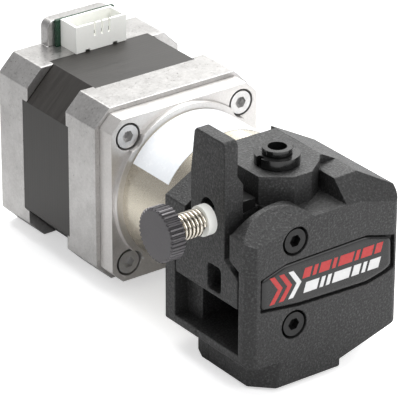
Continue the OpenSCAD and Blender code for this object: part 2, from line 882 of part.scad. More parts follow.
disc_y0 = -15.1;
disc_t = 2.8;
module output_shaft() {
  color(steel) in_place() difference() {
    union() {
      rod_y(plate_disc_r, disc_y0, disc_y0 + disc_t);
      rod_y(output_r, house_back_y - 2.6, disc_y0);
      rod_y(drive_shaft_r, shaft_end_y, house_back_y - 2.6);
    }
    for (i = [0 : planet_count - 1]) at_planet(i) rod_y(stage_pin_r, disc_y0 - past, disc_y0 + disc_t + past);
    flat_cut();
  }
}

// Flat on the output shaft for the set screw
flat_depth = 0.4;
module flat_cut() {
  box([-drive_shaft_r, wheel_y1 + 0.6, drive_shaft_r - flat_depth], [drive_shaft_r, hub_y1 + 0.6, drive_shaft_r + past]);
}
module planet_pins() {
  color(steel) in_place() for (i = [0 : planet_count - 1]) at_planet(i)
    rod_y(stage_pin_r, disc_y0, planet_y1 + 1.2);
}
module pin_clips() {
  clip_t = 0.5;
  color(steel) in_place() for (i = [0 : planet_count - 1]) at_planet(i)
    tube_y(2.4, stage_pin_r, planet_y1 + 0.2, planet_y1 + 0.2 + clip_t);
}

// Toothed wheel with a filament groove, shared by the drive wheel and the idler wheel
module grooved_wheel(bore_r, x) {
  rim_r = drive_r - 0.25;
  translate([x, 0, 0]) difference() {
    union() {
      along_y(wheel_y0, tooth_y1) gear_outline(drive_module, drive_teeth);
      rod_y(rim_r, tooth_y1, wheel_y1);
    }
    rod_y(bore_r, wheel_y0 - past, wheel_y1 + past);
    translate([0, path_y, 0]) rotate([90, 0, 0]) rotate_extrude() translate([drive_r, 0]) circle(r = filament_r);
  }
}
module drive_wheel() {
  color(steel) in_place() difference() {
    union() {
      grooved_wheel(drive_shaft_r, 0);
      tube_y(hub_r, drive_shaft_r, wheel_y1, hub_y1);
    }
    set_screw_hole(m3_r + thread_gap);
  }
}
set_screw_y = (wheel_y1 + hub_y1) / 2 - 0.2;
module set_screw_hole(r) { translate([0, set_screw_y, 0]) cylinder(r = r, h = hub_r + past); }
module drive_set_screw() {
  screw_l = 1.5;
  seat_z = drive_shaft_r + 0.02;
  color(black_oxide) in_place() translate([0, set_screw_y, seat_z]) difference() {
    cylinder(r = m3_r, h = screw_l);
    translate([0, 0, screw_l - 1]) cylinder(r = 0.8, h = 2, $fn = 6);
  }
}

module idler_wheel() { color(steel) in_place() grooved_wheel(drive_shaft_r, idler_x); }
module idler_bearings() {
  shell_l = 3.6;
  color(steel) in_place() for (y = [wheel_y0 + 0.1, wheel_y1 - 0.1 - shell_l])
    tube_y(drive_shaft_r, idler_pin_r + run_gap, y, y + shell_l, idler_x);
}
module idler_pin() { color(steel) in_place() rod_y(idler_pin_r, cheek_y0, cheek_y1, idler_x); }

// Lever: an outer plate with a thumb arm, and a fork inside that carries the idler wheel
module lever() {
  slot_r = thumb_r + 0.4;
  slot_low = 0.2;
  slot_high = 2.4;
  color(plastic) in_place() difference() {
    union() {
      along_x(lever_x0, lever_x1) polygon([
        [lever_y0, lever_bottom], [lever_y0, lever_wide_z], [arm_y0, lever_neck_z], [arm_y0, 22],
        [arm_y0 - 0.1, lever_top - 0.8], [arm_y0 + 0.7, lever_top], [arm_y1 - 2, lever_top],
        [arm_y1 - 1.2, lever_top - 0.8], [arm_y1, 22], [arm_y1, lever_neck_z], [lever_y1, lever_wide_z],
        [lever_y1, lever_bottom]
      ]);
      along_y(arm_y0, arm_y1) polygon([
        [lever_x1 - 0.5, lever_neck_z], [rib_x, lever_neck_z], [rib_x, rib_top], [lever_x1, rib_top + 2.5],
        [lever_x1 - 0.5, rib_top + 2.5]
      ]);
      fork_cheek(cheek_y0);
      fork_cheek(cheek_y1 - cheek_w);
      rod_y(pivot_hub_r, cheek_y0, cheek_y1, -face_pos, -face_pos);
    }
    rod_y(m3_r + run_gap, cheek_y0 - past, cheek_y1 + past, -face_pos, -face_pos);
    rod_y(idler_pin_r, cheek_y0 - past, cheek_y1 + past, idler_x);
    along_x(lever_x0 - past, rib_x + past) {
      for (z = [screw_z - slot_low, screw_z + slot_high]) translate([path_y, z]) circle(r = slot_r);
      translate([path_y - slot_r, screw_z - slot_low]) square([2 * slot_r, slot_low + slot_high]);
      translate([-40.55, -0.4]) rounded_rect(4.7, 6, 1);
    }
  }
}

// One side of the fork between the outer plate, the pivot and the idler pin
module fork_cheek(y) {
  along_y(y, y + cheek_w) {
    translate([-face_pos, -face_pos]) circle(r = pivot_hub_r);
    translate([idler_x, 0]) circle(r = idler_hub_r);
    polygon([
      [lever_x1 - 0.3, lever_bottom], [lever_x1 - 0.3, 5.2], [idler_x, idler_hub_r], [-6.5, -2],
      [-7.2, -8.6], [-11.9, -12.4]
    ]);
  }
}

module tension_bush() {
  color(nylon) in_place() difference() {
    rod_x(bush_r, lever_x0 - bush_t, lever_x0 - 0.02);
    rod_x(thumb_r + run_gap, lever_x0 - bush_t - past, lever_x0 + past);
  }
}

module spring_washer() {
  x = knob_x0 + knob_t + 0.02;
  color(steel) in_place() difference() {
    rod_x(washer_r, x, x + washer_t);
    rod_x(thumb_r + run_gap, x - past, x + washer_t + past);
  }
}

module thumbscrew() {
  color([0.35, 0.34, 0.34]) in_place() difference() {
    union() {
      rod_x(knob_d / 2, knob_x0, knob_x0 + knob_t);
      rod_x(thumb_r, knob_x0 + knob_t - 0.2, thumb_end_x);
    }
    for (i = [0 : knurls - 1]) {
      a = i * 360 / knurls;
      along_x(knob_x0 - past, knob_x0 + knob_t + 0.01)
        translate([path_y, screw_z] + (knob_d / 2 + 0.15) * [cos(a), sin(a)]) circle(r = knurl_r, $fn = 4);
    }
  }
}

// Compression spring swept along its helix, from the bush to the washer
spring_x0 = knob_x0 + knob_t + washer_t + 0.05;
spring_x1 = lever_x0 - bush_t - 0.02;
function helix_point(t, turns) =
  let(a = t * turns * 360, run = spring_x1 - spring_x0 - 2 * spring_wire_r)
  [spring_x0 + spring_wire_r + run * t, path_y + spring_r * cos(a), screw_z + spring_r * sin(a)];
function wire_ring(t, turns) =
  let(a = t * turns * 360, c = helix_point(t, turns))
  [for (k = [0 : spring_sides - 1])
    let(b = k * 360 / spring_sides, out = spring_wire_r * cos(b))
    c + [spring_wire_r * sin(b), out * cos(a), out * sin(a)]];
module tension_spring() {
  steps = spring_turns * spring_ring_step;
  points = [for (i = [0 : steps]) each wire_ring(i / steps, spring_turns)];
  sides = [
    for (i = [0 : steps - 1], k = [0 : spring_sides - 1])
      let(a = i * spring_sides, b = a + spring_sides, n = (k + 1) % spring_sides)
      [a + k, a + n, b + n, b + k]
  ];
  first = [for (k = [0 : spring_sides - 1]) spring_sides - 1 - k];
  last = [for (k = [0 : spring_sides - 1]) steps * spring_sides + k];
  color(steel) in_place() polyhedron(points = points, faces = concat([first, last], sides), convexity = 10);
}

motor_rear_cap();
motor_laminations();
motor_windings();
motor_front_cap();
motor_case_bolts();
motor_bearing_outer_rings();
motor_bearing_balls();
motor_connector();
connector_pins();
motor_circuit_board();
gearbox_base_plate();
gearbox_screws();
ring_gear();
gearbox_sticker();
gearbox_front_cap();
output_bearing_outer_ring();
output_bearing_balls();
housing();
gearbox_face_screws();
cover();
cover_screws();
cover_label();
front_bearing();
tension_nut();
inlet_sleeve();
inlet_collet();
inlet_clip();
rotor_stacks();
rotor_magnet();
motor_shaft();
motor_bearing_inner_rings();
sun_gear();
output_shaft();
planet_pins();
pin_clips();
output_bearing_inner_ring();
drive_wheel();
drive_set_screw();
planet_gear_1();
planet_gear_2();
planet_gear_3();
lever();
idler_pin();
idler_wheel();
idler_bearings();
tension_bush();
spring_washer();
thumbscrew();
tension_spring();
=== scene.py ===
"""Looks of the geared filament extruder: shells, thumbscrew, spring, domed label, materials and light."""
import json
import math

import bmesh
import bpy
from mathutils import Matrix, Vector
from mathutils.bvhtree import BVHTree


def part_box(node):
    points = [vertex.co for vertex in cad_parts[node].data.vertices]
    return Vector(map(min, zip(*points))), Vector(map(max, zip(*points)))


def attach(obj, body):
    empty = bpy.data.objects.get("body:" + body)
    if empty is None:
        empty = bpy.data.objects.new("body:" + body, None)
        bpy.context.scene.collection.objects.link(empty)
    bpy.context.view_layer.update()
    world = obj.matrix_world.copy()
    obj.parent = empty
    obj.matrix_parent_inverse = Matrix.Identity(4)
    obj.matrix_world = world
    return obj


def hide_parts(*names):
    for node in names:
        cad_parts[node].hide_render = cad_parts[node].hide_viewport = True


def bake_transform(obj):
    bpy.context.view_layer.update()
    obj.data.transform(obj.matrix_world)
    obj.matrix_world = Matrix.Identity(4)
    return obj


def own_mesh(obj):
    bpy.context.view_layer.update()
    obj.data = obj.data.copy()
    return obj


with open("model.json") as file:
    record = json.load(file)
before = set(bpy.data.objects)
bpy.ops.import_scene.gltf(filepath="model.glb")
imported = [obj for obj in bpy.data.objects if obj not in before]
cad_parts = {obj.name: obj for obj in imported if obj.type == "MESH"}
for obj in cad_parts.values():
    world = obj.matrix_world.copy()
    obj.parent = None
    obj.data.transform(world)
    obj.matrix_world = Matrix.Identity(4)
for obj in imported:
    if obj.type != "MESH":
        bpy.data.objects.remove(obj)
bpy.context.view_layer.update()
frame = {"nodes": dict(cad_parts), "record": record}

MM = 0.001
NODES = frame["nodes"]


# ---------------------------------------------------------------- places, from the frame
def middle(node, axis):
    low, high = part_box(node)
    return (low[axis] + high[axis]) / 2


MOTOR_X = middle("motor_shaft", 0)
MOTOR_Z = middle("motor_shaft", 2)
PATH_Y = middle("tension_bush", 1)
SCREW_Z = middle("tension_bush", 2)


# ---------------------------------------------------------------- camera and light
CAMERA_AZIMUTH = -36.4
CAMERA_ELEVATION = 26.26
CAMERA_ROLL = 0.21
CAMERA_DISTANCE = 739.9 * MM
CAMERA_LENS = 295.0
SENSOR_WIDTH = 36.0
CAMERA_TARGET = Vector((MOTOR_X + 4.18 * MM, PATH_Y + 38.3 * MM, MOTOR_Z - 5.68 * MM))


def direction(azimuth, elevation):
    """Unit vector from the object towards a viewer at this azimuth and elevation, in degrees."""
    a, e = math.radians(azimuth), math.radians(elevation)
    return Vector((math.sin(a) * math.cos(e), -math.cos(a) * math.cos(e), math.sin(e)))


def make_camera():
    data = bpy.data.cameras.new("camera")
    data.lens = CAMERA_LENS
    data.sensor_width = SENSOR_WIDTH
    data.clip_start = 0.01
    data.clip_end = 20.0
    camera = bpy.data.objects.new("camera", data)
    bpy.context.scene.collection.objects.link(camera)
    back = direction(CAMERA_AZIMUTH, CAMERA_ELEVATION)
    turn = (-back).to_track_quat("-Z", "Y").to_matrix().to_4x4()
    roll = Matrix.Rotation(math.radians(CAMERA_ROLL), 4, "Z")
    camera.matrix_world = Matrix.Translation(CAMERA_TARGET + back * CAMERA_DISTANCE) @ turn @ roll
    bpy.context.scene.camera = camera


def area_light(name, azimuth, elevation, distance, size, power):
    """A white square lamp that faces the camera's target."""
    data = bpy.data.lights.new(name, "AREA")
    data.shape = "SQUARE"
    data.size = size
    data.energy = power
    lamp = bpy.data.objects.new(name, data)
    bpy.context.scene.collection.objects.link(lamp)
    away = direction(azimuth, elevation)
    lamp.location = CAMERA_TARGET + away * distance
    lamp.rotation_mode = "QUATERNION"
    lamp.rotation_quaternion = (-away).to_track_quat("-Z", "Y")


# Name, azimuth and elevation in degrees, distance and side in metres, power in watts.
LAMPS = [
    ("top_softbox", 150, 72, 0.55, 0.50, 3.6),
    ("back_strip", 120, 30, 0.60, 0.35, 1.0),
    ("left_softbox", -80, 35, 0.60, 0.45, 0.25),
    ("front_fill", 5, 35, 0.70, 0.50, 1.65),
    ("front_strip", 32, 14, 0.60, 0.20, 0.30),
]
BRIGHT_SIDE = direction(140, 28)
STUDIO_STRENGTH = 1.1
BACKDROP_STRENGTH = 1.05


def along_direction(tree, coordinate, vector):
    """How far a point lies along a vector."""
    place = tree.nodes.new("ShaderNodeTexCoord")
    along = tree.nodes.new("ShaderNodeVectorMath")
    along.operation = "DOT_PRODUCT"
    along.inputs[1].default_value = vector
    tree.links.new(place.outputs[coordinate], along.inputs[0])
    return along.outputs["Value"]


def studio_tint(tree):
    """White on the bright side, dark in the band that the upper left chamfers mirror, grey beyond it."""
    ramp = tree.nodes.new("ShaderNodeValToRGB")
    stops = ramp.color_ramp.elements
    stops[1].position, stops[1].color = 0.92, (1.0, 1.0, 0.99, 1)
    stops[0].position, stops[0].color = 0.20, (0.44, 0.44, 0.45, 1)
    stops.new(0.49).color = (0.27, 0.27, 0.275, 1)
    tree.links.new(along_direction(tree, "Generated", BRIGHT_SIDE), ramp.inputs["Fac"])
    return ramp.outputs["Color"]


def make_world():
    """A white backdrop for the eye, and a studio with one bright side for light and reflections."""
    world = bpy.data.worlds.new("studio")
    bpy.context.scene.world = world
    world.use_nodes = True
    tree = world.node_tree
    tree.nodes.clear()
    studio = tree.nodes.new("ShaderNodeBackground")
    studio.inputs["Strength"].default_value = STUDIO_STRENGTH
    tree.links.new(studio_tint(tree), studio.inputs["Color"])
    backdrop = tree.nodes.new("ShaderNodeBackground")
    backdrop.inputs["Color"].default_value = (1, 1, 1, 1)
    backdrop.inputs["Strength"].default_value = BACKDROP_STRENGTH
    rays = tree.nodes.new("ShaderNodeLightPath")
    mix = tree.nodes.new("ShaderNodeMixShader")
    tree.links.new(rays.outputs["Is Camera Ray"], mix.inputs["Fac"])
    tree.links.new(studio.outputs[0], mix.inputs[1])
    tree.links.new(backdrop.outputs[0], mix.inputs[2])
    out = tree.nodes.new("ShaderNodeOutputWorld")
    tree.links.new(mix.outputs[0], out.inputs["Surface"])


def make_light():
    make_world()
    for lamp in LAMPS:
        area_light(*lamp)
    bpy.context.scene.view_settings.view_transform = "Standard"
    bpy.context.scene.view_settings.look = "None"


FLOOR_HALF = 0.5
FLOOR_GAP = 0.02 * MM
# FLOOR_GLOW is painted light on the floor; FLOOR_GREY_END and FLOOR_WHITE_END bound its painted grey.
FLOOR_GLOW = 0.52
FLOOR_GREY_END = -0.14
FLOOR_WHITE_END = 0.03
FOOT_Y = 6.5 * MM
TOWARDS_FRONT = (0.59, -0.81, 0.0)


def floor_paper():
    """White paper that glows to camera rays only, painted light that keeps its shadows faint. The metal's
    left faces mirror its far left, which is painted greyer as a painted shade.
    """
    mat, tree, shader = blank_material("floor_paper")
    # Painted shade: the floor greys towards its far left, so the metal's left faces mirror a darker floor.
    near = tree.nodes.new("ShaderNodeMapRange")
    near.inputs["From Min"].default_value = FLOOR_GREY_END
    near.inputs["From Max"].default_value = FLOOR_WHITE_END
    tree.links.new(along_direction(tree, "Object", TOWARDS_FRONT), near.inputs["Value"])
    tint = ramp_between(tree, near.outputs["Result"], grey(0.46), grey(0.97), 0.0, 1.0)
    tree.links.new(tint, shader.inputs["Base Color"])
    tree.links.new(spread(tree, noise(tree, 400.0, 4.0), 0.85, 0.95), shader.inputs["Roughness"])
    shader.inputs["Emission Color"].default_value = (1, 1, 1, 1)
    # Painted light: the floor glows to camera rays only, which lifts its shadows where the camera sees them.
    rays = tree.nodes.new("ShaderNodeLightPath")
    glow = tree.nodes.new("ShaderNodeMath")
    glow.operation = "MULTIPLY"
    glow.inputs[1].default_value = FLOOR_GLOW
    tree.links.new(rays.outputs["Is Camera Ray"], glow.inputs[0])
    tree.links.new(glow.outputs[0], shader.inputs["Emission Strength"])
    return mat


def make_floor():
    """The extruder rests on its foot and on the motor's rear lower edge, so the table is tilted a little."""
    foot_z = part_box("cover")[0][2]
    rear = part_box("motor_rear_cap")
    slope = (rear[0][2] - foot_z) / (rear[1][1] - FOOT_Y)
    far = FLOOR_HALF
    square = [(-far, -far), (far, -far), (far, far), (-far, far)]
    corners = [(x, y, foot_z + (y - FOOT_Y) * slope - FLOOR_GAP) for x, y in square]
    mesh = bpy.data.meshes.new("floor")
    mesh.from_pydata(corners, [], [(0, 1, 2, 3)])
    mesh.materials.append(floor_paper())
    floor = bpy.data.objects.new("floor", mesh)
    bpy.context.scene.collection.objects.link(floor)


# ---------------------------------------------------------------- materials
def grey(level, warmth=0.0):
    """A grey. Warmth lifts its red and lowers its blue."""
    return (level * (1 + warmth), level, level * (1 - warmth))


def blank_material(name):
    mat = bpy.data.materials.new(name)
    mat.use_nodes = True
    tree = mat.node_tree
    return mat, tree, tree.nodes["Principled BSDF"]


def noise(tree, scale, detail, stretch=None, rough=0.55):
    """Noise in the object's own metres. A stretch under 1 lengthens the pattern along that axis."""
    place = tree.nodes.new("ShaderNodeTexCoord")
    tex = tree.nodes.new("ShaderNodeTexNoise")
    tex.inputs["Scale"].default_value = scale
    tex.inputs["Detail"].default_value = detail
    tex.inputs["Roughness"].default_value = rough
    vector = place.outputs["Object"]
    if stretch:
        fit = tree.nodes.new("ShaderNodeMapping")
        fit.inputs["Scale"].default_value = stretch
        tree.links.new(vector, fit.inputs["Vector"])
        vector = fit.outputs["Vector"]
    tree.links.new(vector, tex.inputs["Vector"])
    return tex.outputs["Fac"]


def ramp_between(tree, value, low, high, start=0.3, stop=0.7):
    """Turns a value into a tint: low up to start, high from stop."""
    ramp = tree.nodes.new("ShaderNodeValToRGB")
    ramp.color_ramp.elements[0].position = start
    ramp.color_ramp.elements[1].position = stop
    ramp.color_ramp.elements[0].color = (*low, 1)
    ramp.color_ramp.elements[1].color = (*high, 1)
    tree.links.new(value, ramp.inputs["Fac"])
    return ramp.outputs["Color"]


def spread(tree, value, low, high):
    """Maps the middle half of a 0 to 1 value to the range from low to high."""
    fit = tree.nodes.new("ShaderNodeMapRange")
    fit.inputs["From Min"].default_value = 0.25
    fit.inputs["From Max"].default_value = 0.75
    fit.inputs["To Min"].default_value = low
    fit.inputs["To Max"].default_value = high
    tree.links.new(value, fit.inputs["Value"])
    return fit.outputs["Result"]


def add_bump(tree, shader, height, depth, strength=1.0, below=None):
    """A bump on the shader, on top of an earlier one if there is one below."""
    bump = tree.nodes.new("ShaderNodeBump")
    bump.inputs["Strength"].default_value = strength
    bump.inputs["Distance"].default_value = depth
    tree.links.new(height, bump.inputs["Height"])
    if below:
        tree.links.new(below, bump.inputs["Normal"])
    tree.links.new(bump.outputs["Normal"], shader.inputs["Normal"])
    return bump.outputs["Normal"]


BLOTCH_SCALES = {"cast_alloy": 220.0}
BLOTCH_SCALE = 90.0
BLOTCH_SHARE = 0.45


def speckled(name, dark, light, metallic, rough, grain, bump):
    """A surface with blotches of colour, fine grain in its bump and a little spread in its roughness."""
    mat, tree, shader = blank_material(name)
    blotches = noise(tree, BLOTCH_SCALES.get(name, BLOTCH_SCALE), 3.0)
    fine = noise(tree, grain, 4.0, rough=0.7)
    half = tree.nodes.new("ShaderNodeMath")
    half.operation = "MULTIPLY"
    half.inputs[1].default_value = BLOTCH_SHARE
    tree.links.new(blotches, half.inputs[0])
    both = tree.nodes.new("ShaderNodeMath")
    both.operation = "MULTIPLY_ADD"
    both.inputs[1].default_value = 1 - BLOTCH_SHARE
    tree.links.new(fine, both.inputs[0])
    tree.links.new(half.outputs[0], both.inputs[2])
    tree.links.new(ramp_between(tree, both.outputs[0], dark, light, 0.35, 0.65), shader.inputs["Base Color"])
    tree.links.new(spread(tree, fine, *rough), shader.inputs["Roughness"])
    shader.inputs["Metallic"].default_value = metallic
    shader.inputs["Specular IOR Level"].default_value = 0.4 if name == "label" else 0.5
    add_bump(tree, shader, fine, bump * MM)
    return mat


def sintered(name):
    """Black nylon fused from powder: a matt skin with grains under half a millimetre, some of them paler."""
    mat, tree, shader = blank_material(name)
    grains = noise(tree, 2100, 2.0, rough=0.6)
    cloud = noise(tree, 260, 2.0)
    tint = tree.nodes.new("ShaderNodeValToRGB")
    stops = tint.color_ramp.elements
    stops[0].position, stops[0].color = 0.36, (*grey(0.008), 1)
    stops[1].position, stops[1].color = 0.56, (*grey(0.018), 1)
    stops.new(0.70).color = (*grey(0.050), 1)
    tree.links.new(grains, tint.inputs["Fac"])
    worn = tree.nodes.new("ShaderNodeMix")
    worn.data_type = "RGBA"
    worn.blend_type = "MULTIPLY"
    worn.inputs["Factor"].default_value = 1.0
    tree.links.new(tint.outputs["Color"], worn.inputs["A"])
    tree.links.new(ramp_between(tree, cloud, grey(0.82), grey(1.0)), worn.inputs["B"])
    tree.links.new(worn.outputs["Result"], shader.inputs["Base Color"])
    tree.links.new(spread(tree, grains, 0.62, 0.42), shader.inputs["Roughness"])
    shader.inputs["Specular IOR Level"].default_value = 0.5
    add_bump(tree, shader, grains, 0.15 * MM)
    return mat


def laminated(name):
    """Edges of thin blackened steel sheets stacked along Y, half a millimetre each."""
    mat, tree, shader = blank_material(name)
    place = tree.nodes.new("ShaderNodeTexCoord")
    wave = tree.nodes.new("ShaderNodeTexWave")
    wave.bands_direction = "Y"
    wave.inputs["Scale"].default_value = 314.0
    wave.inputs["Distortion"].default_value = 0.6
    wave.inputs["Detail"].default_value = 2.0
    wave.inputs["Detail Scale"].default_value = 3.0
    tree.links.new(place.outputs["Object"], wave.inputs["Vector"])
    streaks = noise(tree, 500.0, 4.0, (0.15, 1.6, 0.15), 0.65)
    tint = ramp_between(tree, streaks, grey(0.017, 0.12), grey(0.030, 0.10))
    tree.links.new(tint, shader.inputs["Base Color"])
    tree.links.new(spread(tree, streaks, 0.34, 0.46), shader.inputs["Roughness"])
    lines = add_bump(tree, shader, wave.outputs["Fac"], 0.006 * MM, 0.5)
    add_bump(tree, shader, streaks, 0.015 * MM, 0.7, lines)
    return mat


# Name: dark and light tint, metallic, range of roughness, scale of the grain, depth of its bump in mm.
FINISHES = {
    "cast_alloy": (grey(0.40, 0.022), grey(0.57, 0.018), 0.95, (0.24, 0.42), 1700, 0.022),
    # The base plate's alloy is the cast alloy painted lighter and a little warmer, painted light that stands
    # in for the light on its front face.
    "plate_alloy_lit": (grey(0.56, 0.03), grey(0.70, 0.025), 0.9, (0.34, 0.48), 2200, 0.022),
    "copper": ((0.36, 0.13, 0.05), (0.55, 0.24, 0.1), 0.9, (0.25, 0.4), 1500, 0.03),
    "nickel_steel": ((0.62, 0.57, 0.47), (0.68, 0.63, 0.53), 1.0, (0.22, 0.3), 2400, 0.002),
    "bearing_steel": (grey(0.5), grey(0.65), 1.0, (0.12, 0.2), 900, 0.002),
    "gear_steel": (grey(0.34, 0.02), grey(0.46, 0.02), 1.0, (0.25, 0.38), 1800, 0.004),
    "black_oxide": (grey(0.012), grey(0.03), 0.6, (0.3, 0.45), 2500, 0.01),
    "white_nylon": ((0.93, 0.94, 0.89), (0.97, 0.97, 0.93), 0.0, (0.38, 0.5), 1500, 0.008),
    "contact_tin": (grey(0.16), grey(0.24), 0.8, (0.4, 0.5), 1500, 0.002),
    "board_green": ((0.006, 0.035, 0.018), (0.012, 0.06, 0.03), 0.0, (0.2, 0.3), 900, 0.01),
    "sticker": ((0.80, 0.83, 0.86), (0.87, 0.89, 0.91), 0.0, (0.22, 0.3), 700, 0.004),
    "zinc_steel": (grey(0.5, 0.01), grey(0.66, 0.01), 1.0, (0.26, 0.4), 1500, 0.004),
    "coupling_black": (grey(0.006), grey(0.012), 0.0, (0.14, 0.24), 1200, 0.004),
    "magnet": (grey(0.3), grey(0.4), 1.0, (0.3, 0.4), 1200, 0.003),
    "knob_steel": ((0.092, 0.088, 0.092), (0.120, 0.116, 0.120), 1.0, (0.26, 0.38), 2200, 0.006),
    "spring_steel": ((0.62, 0.58, 0.5), (0.78, 0.73, 0.64), 1.0, (0.14, 0.22), 1500, 0.002),
    "label": (grey(0.012), grey(0.02), 0.0, (0.08, 0.14), 900, 0.002),
    "label_red": ((0.40, 0.014, 0.014), (0.47, 0.02, 0.018), 0.0, (0.14, 0.22), 900, 0.002),
    "label_grey": (grey(0.58), grey(0.66), 0.3, (0.16, 0.24), 900, 0.002),
}


def make_materials():
    made = {name: speckled(name, *finish) for name, finish in FINISHES.items()}
    made["plastic"] = sintered("plastic")
    made["lamination"] = laminated("lamination")
    return made


# ---------------------------------------------------------------- mesh work
WELD_GAP = 0.002 * MM
FLAT_ANGLE = math.radians(0.6)
BEVEL_SEGMENTS = 2
BEVEL_ANGLE = math.radians(28.0)
BEVEL_TRIES = 10
SLIVER_AREA = 1e-10


def new_piece(name, mesh, material, body, slot, *replaced):
    """A piece with its material, on its body. A piece given no body is left unattached."""
    piece = bpy.data.objects.new(name, mesh)
    bpy.context.scene.collection.objects.link(piece)
    mesh.materials.clear()
    mesh.materials.append(MATERIALS[material])
    if body:
        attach(piece, body)
    if replaced:
        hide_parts(*replaced)
    return piece


def shade(piece, sharp=38.0):
    """Smooth faces with sharp edges over an angle, and normals weighted by area so that flats stay flat."""
    mesh = piece.data
    bm = bmesh.new()
    bm.from_mesh(mesh)
    for face in bm.faces:
        face.smooth = True
    for edge in bm.edges:
        edge.smooth = len(edge.link_faces) != 2 or edge.calc_face_angle(0.0) < math.radians(sharp)
    bm.to_mesh(mesh)
    bm.free()
    weigh = piece.modifiers.new("weighted", "WEIGHTED_NORMAL")
    weigh.keep_sharp = True


def clean_copy(node):
    """The CAD node's surface as a bmesh with its flat faces joined up."""
    source = NODES[node]
    bm = bmesh.new()
    bm.from_mesh(source.data)
    bm.transform(source.matrix_world)
    bmesh.ops.remove_doubles(bm, verts=bm.verts, dist=WELD_GAP)
    bmesh.ops.dissolve_limit(bm, angle_limit=FLAT_ANGLE, verts=bm.verts, edges=bm.edges, delimit={"NORMAL"})
    return bm


def bevel_once(node, width, skip, reach):
    """The node with its sharp edges rounded, apart from those within reach of a spot in skip."""
    bm = clean_copy(node)
    edges = [
        e for e in bm.edges
        if len(e.link_faces) == 2
        and e.calc_face_angle(0.0) > BEVEL_ANGLE
        and not any(near_edge(spot, e) < reach for spot in skip)
    ]
    bmesh.ops.bevel(
        bm, geom=edges, offset=width, offset_type="OFFSET", segments=BEVEL_SEGMENTS, profile=0.5,
        affect="EDGES", clamp_overlap=False, loop_slide=True,
    )
    bmesh.ops.triangulate(bm, faces=[f for f in bm.faces if len(f.verts) > 4])
    return bm


def near_edge(point, edge):
    """How far a point is from an edge."""
    a, b = edge.verts[0].co, edge.verts[1].co
    along = b - a
    share = (point - a).dot(along) / max(along.length_squared, 1e-12)
    return (point - (a + along * min(1.0, max(0.0, share)))).length


def folded_spots(bm, surface, width):
    """Places where a rounded surface has left the plain one, or has turned over."""
    spots = []
    for face in bm.faces:
        centre = face.calc_center_median()
        _, normal, _, gap = surface.find_nearest(centre)
        if gap > 0.6 * width or (normal.dot(face.normal) < 0.1 and face.calc_area() > SLIVER_AREA):
            spots.append(centre)
    return spots


def rounded_mesh(node, width):
    """A CAD node's surface with rounded edges. An edge that would fold over itself stays sharp."""
    plain = clean_copy(node)
    bmesh.ops.triangulate(plain, faces=plain.faces)
    surface = BVHTree.FromBMesh(plain)
    plain.free()
    skip = []
    for attempt in range(BEVEL_TRIES):
        bm = bevel_once(node, width, skip, width * (2 + attempt))
        faults = folded_spots(bm, surface, width)
        if not faults:
            return bm
        skip += faults
        bm.free()
    return clean_copy(node)


def make_rounded(node, material, width):
    """A stand-in for a CAD node, with its edges rounded to a width in mm."""
    bm = rounded_mesh(node, width * MM)
    mesh = bpy.data.meshes.new(node + "_detail")
    bm.to_mesh(mesh)
    bm.free()
    piece = new_piece(node + "_detail", mesh, material, body_of(node), slot_of(node), node)
    shade(piece)


def body_of(node):
    """The body that a CAD node is part of."""
    bodies = frame["record"]["behaviour"]["bodies"]
    return next(body for body, members in bodies.items() if node in members)


def slot_of(node):
    """The record's material slot of a CAD node."""
    return next(s["material_slot"] for s in frame["record"]["subparts"] if s["node"] == node)


def grid_mesh(name, rows):
    """Skins a list of point rings with quads, and caps both ends."""
    count = len(rows[0])
    points = [p for row in rows for p in row]
    faces = [
        (i * count + k, i * count + (k + 1) % count, (i + 1) * count + (k + 1) % count, (i + 1) * count + k)
        for i in range(len(rows) - 1) for k in range(count)
    ]
    faces.append(tuple(reversed(range(count))))
    faces.append(tuple((len(rows) - 1) * count + k for k in range(count)))
    mesh = bpy.data.meshes.new(name)
    mesh.from_pydata(points, [], faces)
    bm = bmesh.new()
    bm.from_mesh(mesh)
    bmesh.ops.recalc_face_normals(bm, faces=bm.faces)
    bm.to_mesh(mesh)
    bm.free()
    return mesh


def around_screw(x, radius, angle):
    """A point around the thumbscrew's axis."""
    return Vector((x, PATH_Y + radius * math.cos(angle), SCREW_Z + radius * math.sin(angle)))


# ---------------------------------------------------------------- thumbscrew
KNOB_HEAD = 3.8 * MM
KNOB_CHAMFER = 0.22 * MM
KNURL_DEPTH = 0.42 * MM
KNURL_RIDGES = 36
KNURL_STEPS = 8
THREAD_PITCH = 0.7 * MM
THREAD_DEPTH = 0.33 * MM
THREAD_RADIUS = 2.0 * MM
THREAD_FADE = 0.6 * MM
THREAD_AROUND = 28
THREAD_STEPS = 8


def knob_profile(depth):
    """Outline of the knurled rim, as ring radii: flat-topped ridges with narrow grooves."""
    low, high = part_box("thumbscrew")
    outer = (high[1] - low[1]) / 2
    radii = []
    for k in range(KNURL_RIDGES * KNURL_STEPS):
        phase = (k % KNURL_STEPS) / KNURL_STEPS
        groove = min(1.0, max(0.0, 1.5 - abs(phase - 0.5) / 0.2))
        radii.append(outer - depth * groove)
    return radii


def make_thumbscrew():
    left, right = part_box("thumbscrew")[0][0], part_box("thumbscrew")[1][0]
    plain = knob_profile(0.0)
    cut = knob_profile(KNURL_DEPTH)
    count = len(cut)
    # Place along the axis, outline, and how far inside the outline the ring lies.
    stations = [
        (0.0, plain, 0.6 * MM), (0.0, cut, KNOB_CHAMFER), (KNOB_CHAMFER, cut, 0.0),
        (KNOB_HEAD - KNOB_CHAMFER, cut, 0.0), (KNOB_HEAD, cut, KNOB_CHAMFER), (KNOB_HEAD, plain, 3.0 * MM),
    ]
    rings = [
        [around_screw(left + x, radii[k] - inset, 2 * math.pi * k / count) for k in range(count)]
        for x, radii, inset in stations
    ]
    head_mesh = grid_mesh("thumbscrew_head", rings)
    knob = new_piece("thumbscrew_knob", head_mesh, "knob_steel", "thumbscrew", "knob_steel", "thumbscrew")
    shade(knob, 30)
    make_thread(left + KNOB_HEAD - 0.1 * MM, right)


